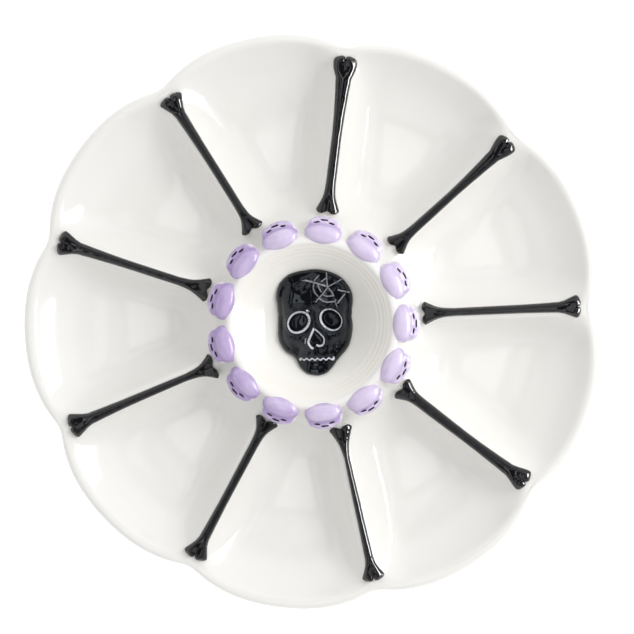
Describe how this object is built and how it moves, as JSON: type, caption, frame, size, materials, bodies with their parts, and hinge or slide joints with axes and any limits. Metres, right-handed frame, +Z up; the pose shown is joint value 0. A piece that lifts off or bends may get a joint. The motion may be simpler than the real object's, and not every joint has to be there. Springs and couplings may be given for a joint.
{
  "type": "tapas plate",
  "caption": "Round lobed tapas plate with scooped compartments between bone-topped dividers and a raised centre dip bowl ringed by small skulls.",
  "frame": {"origin": "on the table under the middle of the dish, at the centre of the foot ring's resting face", "axes": "+Z up out of the dip bowl, +Y along the first divider and its bone"},
  "size_m": [0.2986, 0.296, 0.0475],
  "materials": {
    "white_glaze": "glossy white glaze over earthenware",
    "black_glaze": "glossy black glaze, white brush lines on the bowl's skull",
    "lilac_glaze": "glossy lilac glaze with black brushed eyes and nose"
  },
  "bodies": {
    "root": {"plate_body": "white_glaze", "bone_1": "black_glaze", "bone_2": "black_glaze", "bone_3": "black_glaze", "bone_4": "black_glaze", "bone_5": "black_glaze", "bone_6": "black_glaze", "bone_7": "black_glaze", "bone_8": "black_glaze", "bone_9": "black_glaze", "rim_skull_01": "lilac_glaze", "rim_skull_02": "lilac_glaze", "rim_skull_03": "lilac_glaze", "rim_skull_04": "lilac_glaze", "rim_skull_05": "lilac_glaze", "rim_skull_06": "lilac_glaze", "rim_skull_07": "lilac_glaze", "rim_skull_08": "lilac_glaze", "rim_skull_09": "lilac_glaze", "rim_skull_10": "lilac_glaze", "rim_skull_11": "lilac_glaze", "rim_skull_12": "lilac_glaze", "rim_skull_13": "lilac_glaze", "bowl_skull": "black_glaze"}
  },
  "joints": []
}
